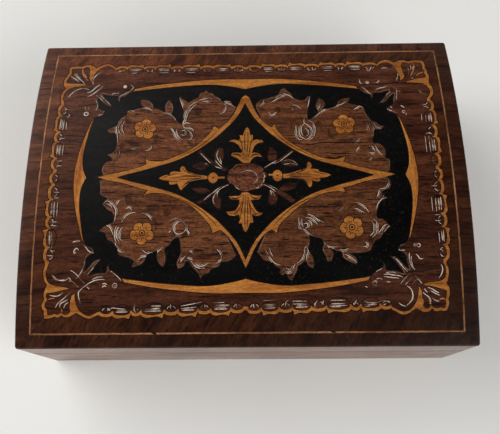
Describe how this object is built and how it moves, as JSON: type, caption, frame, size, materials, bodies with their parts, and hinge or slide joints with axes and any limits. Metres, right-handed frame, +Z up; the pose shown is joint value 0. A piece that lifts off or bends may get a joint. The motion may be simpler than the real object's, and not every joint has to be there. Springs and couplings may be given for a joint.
{
  "type": "stamp box",
  "caption": "Low rectangular wooden box with an arched marquetry lid on brass hinges and scooped compartments for stamps.",
  "frame": {"origin": "middle of the underside", "axes": "+X along the front to the right, +Y towards the hinges, +Z up"},
  "size_m": [0.152, 0.114, 0.05],
  "materials": {
    "walnut": "dark walnut, thin worn polish",
    "walnut_inside": "bare walnut, rubbed smooth",
    "walnut_figure": "lighter sawn walnut, white engraved lines",
    "boxwood": "amber boxwood, satin, dark engraved lines",
    "ebonised": "black stained veneer, satin, fine pale specks",
    "stringing": "tan stringing, satin",
    "brass": "aged brass, dulled"
  },
  "bodies": {
    "base": {"front_wall": "walnut", "back_wall": "walnut", "left_wall": "walnut", "right_wall": "walnut", "bottom_board": "walnut_inside", "left_divider": "walnut_inside", "right_divider": "walnut_inside", "left_scooped_floor": "walnut_inside", "middle_scooped_floor": "walnut_inside", "right_scooped_floor": "walnut_inside", "left_hinge_body_leaf": "brass", "right_hinge_body_leaf": "brass", "left_hinge_pin": "brass", "right_hinge_pin": "brass", "left_hinge_body_screw_1": "brass", "left_hinge_body_screw_2": "brass", "right_hinge_body_screw_1": "brass", "right_hinge_body_screw_2": "brass"},
    "lid": {"lid_front_rail": "walnut", "lid_back_rail": "walnut", "lid_left_rail": "walnut", "lid_right_rail": "walnut", "lid_board": "walnut_inside", "left_hinge_lid_leaf": "brass", "right_hinge_lid_leaf": "brass", "left_hinge_lid_screw_1": "brass", "left_hinge_lid_screw_2": "brass", "right_hinge_lid_screw_1": "brass", "right_hinge_lid_screw_2": "brass", "front_banding": "walnut", "back_banding": "walnut", "left_banding": "walnut", "right_banding": "walnut", "front_stringing": "stringing", "back_stringing": "stringing", "left_stringing": "stringing", "right_stringing": "stringing", "outer_field": "walnut", "scalloped_border": "boxwood", "walnut_frieze": "walnut_figure", "front_crescent": "boxwood", "back_crescent": "boxwood", "left_crescent": "boxwood", "right_crescent": "boxwood", "black_ground": "ebonised", "back_left_spandrel": "walnut_figure", "back_right_spandrel": "walnut_figure", "front_left_spandrel": "walnut_figure", "front_right_spandrel": "walnut_figure", "back_left_flower": "boxwood", "back_right_flower": "boxwood", "front_left_flower": "boxwood", "front_right_flower": "boxwood", "diamond_frame": "boxwood", "inner_ground": "ebonised", "back_fleur": "boxwood", "front_fleur": "boxwood", "left_fleur": "boxwood", "right_fleur": "boxwood", "rosette": "walnut_figure"}
  },
  "joints": [
    {"name": "lid_hinge", "type": "hinge", "parent": "base", "child": "lid", "pos_m": [0, 0.0551, 0.02715], "axis": [-1, 0, 0], "range_deg": [0, 100]}
  ]
}
